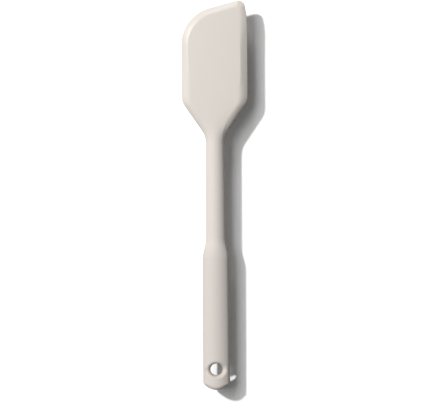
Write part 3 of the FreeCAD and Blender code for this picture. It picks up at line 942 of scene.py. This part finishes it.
def steel_material(finishes):
    """Brushed steel: fine scratches along the strip over a slow variation of the sheen."""
    material, shader, start = new_material("brushed_steel", {"Metallic": 1.0})
    shade_scratch, shade_cloud = 0.6, 0.4
    rough_scratch, rough_cloud = 0.18, 0.06
    scratch_depth = 0.00002
    spot = surface_place(start)
    streak = spot.node("ShaderNodeMapping", {}, {"Vector": spot, "Scale": (1.0, 0.02, 1.0)})
    scratch = noise(streak, scale=5200.0, detail=3.0)
    cloud = noise(spot, scale=40.0, detail=3.0)
    shade = shade_scratch * scratch + shade_cloud * cloud
    feed(shader, "Base Color", shade.between(finishes.steel, finishes.steel_shade))
    feed(shader, "Roughness", finishes.steel_roughness + rough_scratch * scratch + rough_cloud * cloud)
    feed(shader, "Normal", bump(scratch, scratch_depth))
    return material


def nylon_material(finishes):
    """Dark glass-filled nylon: pale fibre flecks drawn along the bar in a dull, slightly rough surface."""
    material, shader, start = new_material("glass_filled_nylon", {"Specular IOR Level": 0.4, "IOR": 1.53})
    fleck_low, fleck_high = 0.58, 0.7
    shade_fleck, shade_grain = 0.5, 0.2
    rough_grain = 0.2
    relief_fleck, relief_depth = 0.3, 0.00003
    spot = surface_place(start)
    drawn = spot.node("ShaderNodeMapping", {}, {"Vector": spot, "Scale": (1.0, 0.25, 1.0)})
    fleck = noise(drawn, scale=2600.0, detail=3.0).band(fleck_low, fleck_high)
    grain = noise(spot, scale=900.0, detail=3.0)
    shade = shade_fleck * fleck + shade_grain * grain
    feed(shader, "Base Color", shade.between(finishes.nylon, finishes.nylon_fleck))
    feed(shader, "Roughness", finishes.nylon_roughness + rough_grain * grain)
    feed(shader, "Normal", bump(grain + relief_fleck * fleck, relief_depth))
    return material


def floor_material():
    """Floor that is paper white to the camera and in reflections, and keeps the object's shadow."""
    material, shader, start = new_material("white_floor", {"Roughness": 1.0, "Specular IOR Level": 0.0})
    rays = ("Is Camera Ray", "Is Glossy Ray", "Is Transmission Ray")
    camera, glossy, clear = [start.node("ShaderNodeLightPath", {}, {}, ray) for ray in rays]
    seen = (camera + glossy + clear).band(0.0, 1.0)
    feed(shader, "Base Color", seen.between(FLOOR_LIT, FLOOR_SEEN))
    return material


def dress_node(node, material):
    """Give a CAD node that stays in the model its material."""
    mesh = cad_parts[node].data
    mesh.materials.clear()
    mesh.materials.append(material)


def add_floor(scene, sizes):
    """Wide floor below the object, which falls evenly towards the blade."""
    reach = sizes.floor_reach
    fall = reach * math.tan(sizes.floor_tilt)
    floor_z = cad_box[0][2] - sizes.floor_drop
    near, far = floor_z + fall, floor_z - fall
    corners = [(-reach, -reach, near), (reach, -reach, near), (reach, reach, far), (-reach, reach, far)]
    mesh = bpy.data.meshes.new("floor")
    mesh.from_pydata(corners, [], [(0, 1, 2, 3)])
    mesh.materials.append(floor_material())
    floor = bpy.data.objects.new("floor", mesh)
    scene.collection.objects.link(floor)
    return floor


def add_world(scene, strength):
    """Even white light from all round."""
    scene.world = bpy.data.worlds.new("studio")
    scene.world.use_nodes = True
    background = scene.world.node_tree.nodes["Background"]
    background.inputs["Color"].default_value = (1.0, 1.0, 1.0, 1.0)
    background.inputs["Strength"].default_value = strength


def add_lamp(scene, name, place, behind, power, sizes):
    """Round lamp of one size or rectangular one of two, which shines away from the direction behind it."""
    light = bpy.data.lights.new(name, "AREA")
    light.shape = "DISK" if len(sizes) == 1 else "RECTANGLE"
    light.size = sizes[0]
    light.size_y = sizes[-1]
    light.energy = power
    lamp = bpy.data.objects.new(name, light)
    lamp.location = place
    lamp.rotation_euler = behind.to_track_quat("Z", "Y").to_euler()
    scene.collection.objects.link(lamp)


def add_camera(scene, sizes):
    """Camera that looks straight down and frames a given width at the object's middle plane."""
    camera = bpy.data.cameras.new("camera")
    camera.lens = camera.sensor_width * sizes.camera_height / sizes.frame_width
    view = bpy.data.objects.new("camera", camera)
    view.location = (sizes.camera_across, sizes.camera_along, mid_height + sizes.camera_height)
    view.rotation_euler = (0.0, 0.0, sizes.camera_roll)
    scene.collection.objects.link(view)
    scene.camera = view


class SPATULA_OT_silicone_skin(bpy.types.Operator):
    """Build the seamless silicone skin with its bevelled blade, hang hole and hollow inside"""

    bl_idname = "spatula.silicone_skin"
    bl_label = "Silicone skin"

    def execute(self, context):
        scene = context.scene
        plan = SkinPlan(scene.spatula_blade, scene.spatula_stem)
        points, faces, polish = skin_mesh(plan)
        hollow_points, hollow_faces = cavity_mesh(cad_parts["silicone_skin"])
        faces = faces.tolist() + (hollow_faces + len(points)).tolist()
        points = np.concatenate([points, hollow_points])
        polish = np.concatenate([polish, np.zeros(len(hollow_points))])
        material = silicone_material(scene.spatula_finishes)
        piece = new_piece("silicone_skin_form", points, faces, polish, material)
        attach(piece, "root")
        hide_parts("silicone_skin")
        return {"FINISHED"}


class SPATULA_OT_steel_spine(bpy.types.Operator):
    """Give the perforated steel spine its brushed finish"""

    bl_idname = "spatula.steel_spine"
    bl_label = "Steel spine"

    def execute(self, context):
        dress_node("steel_spine", steel_material(context.scene.spatula_finishes))
        return {"FINISHED"}


class SPATULA_OT_handle_core(bpy.types.Operator):
    """Give the nylon handle core its moulded finish"""

    bl_idname = "spatula.handle_core"
    bl_label = "Handle core"

    def execute(self, context):
        dress_node("handle_core", nylon_material(context.scene.spatula_finishes))
        return {"FINISHED"}


class SPATULA_OT_stage(bpy.types.Operator):
    """Set the white floor, the lamps and the camera that looks straight down"""

    bl_idname = "spatula.stage"
    bl_label = "Stage"

    def execute(self, context):
        scene = context.scene
        sizes = scene.spatula_stage
        floor = add_floor(scene, sizes)
        add_world(scene, sizes.fill)
        key = Vector(sizes.key_from).normalized()
        add_lamp(scene, "key", key * sizes.key_distance, key, sizes.key_power, [sizes.key_size])
        far = Vector(sizes.far_from).normalized()
        add_lamp(scene, "far", far * sizes.far_distance, far, sizes.far_power, [sizes.far_size])
        above = Vector(sizes.soft_from) * sizes.soft_height
        soft_sizes = [sizes.soft_width, sizes.soft_length]
        add_lamp(scene, "soft", above, STRAIGHT_UP, sizes.soft_power, soft_sizes)
        add_camera(scene, sizes)
        scene.view_settings.view_transform = "Standard"
        return {"FINISHED"}


class SPATULA_PT_panel(bpy.types.Panel):
    """Spatula pieces in the 3D view's sidebar"""

    bl_idname = "SPATULA_PT_panel"
    bl_label = "Silicone spatula"
    bl_space_type = "VIEW_3D"
    bl_region_type = "UI"
    bl_category = "Spatula"

    def draw(self, context):
        for operator in operators:
            self.layout.operator(operator.bl_idname)
        for name in groups:
            group = getattr(context.scene, name)
            box = self.layout.box()
            for setting in group.bl_rna.properties.keys():
                if setting not in ("rna_type", "name"):
                    box.prop(group, setting)


groups = {
    "spatula_blade": BladeSizes,
    "spatula_stem": StemSizes,
    "spatula_finishes": Finishes,
    "spatula_stage": StageSizes,
}
operators = (SPATULA_OT_silicone_skin, SPATULA_OT_steel_spine, SPATULA_OT_handle_core, SPATULA_OT_stage)


def register():
    """Register the property groups on the scene, the operators and the panel."""
    for name, group in groups.items():
        bpy.utils.register_class(group)
        setattr(bpy.types.Scene, name, PointerProperty(type=group))
    for operator in operators:
        bpy.utils.register_class(operator)
    bpy.utils.register_class(SPATULA_PT_panel)


def unregister():
    """Take away what register added, in reverse."""
    bpy.utils.unregister_class(SPATULA_PT_panel)
    for operator in reversed(operators):
        bpy.utils.unregister_class(operator)
    for name, group in reversed(groups.items()):
        delattr(bpy.types.Scene, name)
        bpy.utils.unregister_class(group)


def main():
    """Build the spatula and its stage."""
    register()
    bpy.ops.spatula.silicone_skin()
    bpy.ops.spatula.steel_spine()
    bpy.ops.spatula.handle_core()
    bpy.ops.spatula.stage()


if __name__ == "__main__":
    main()
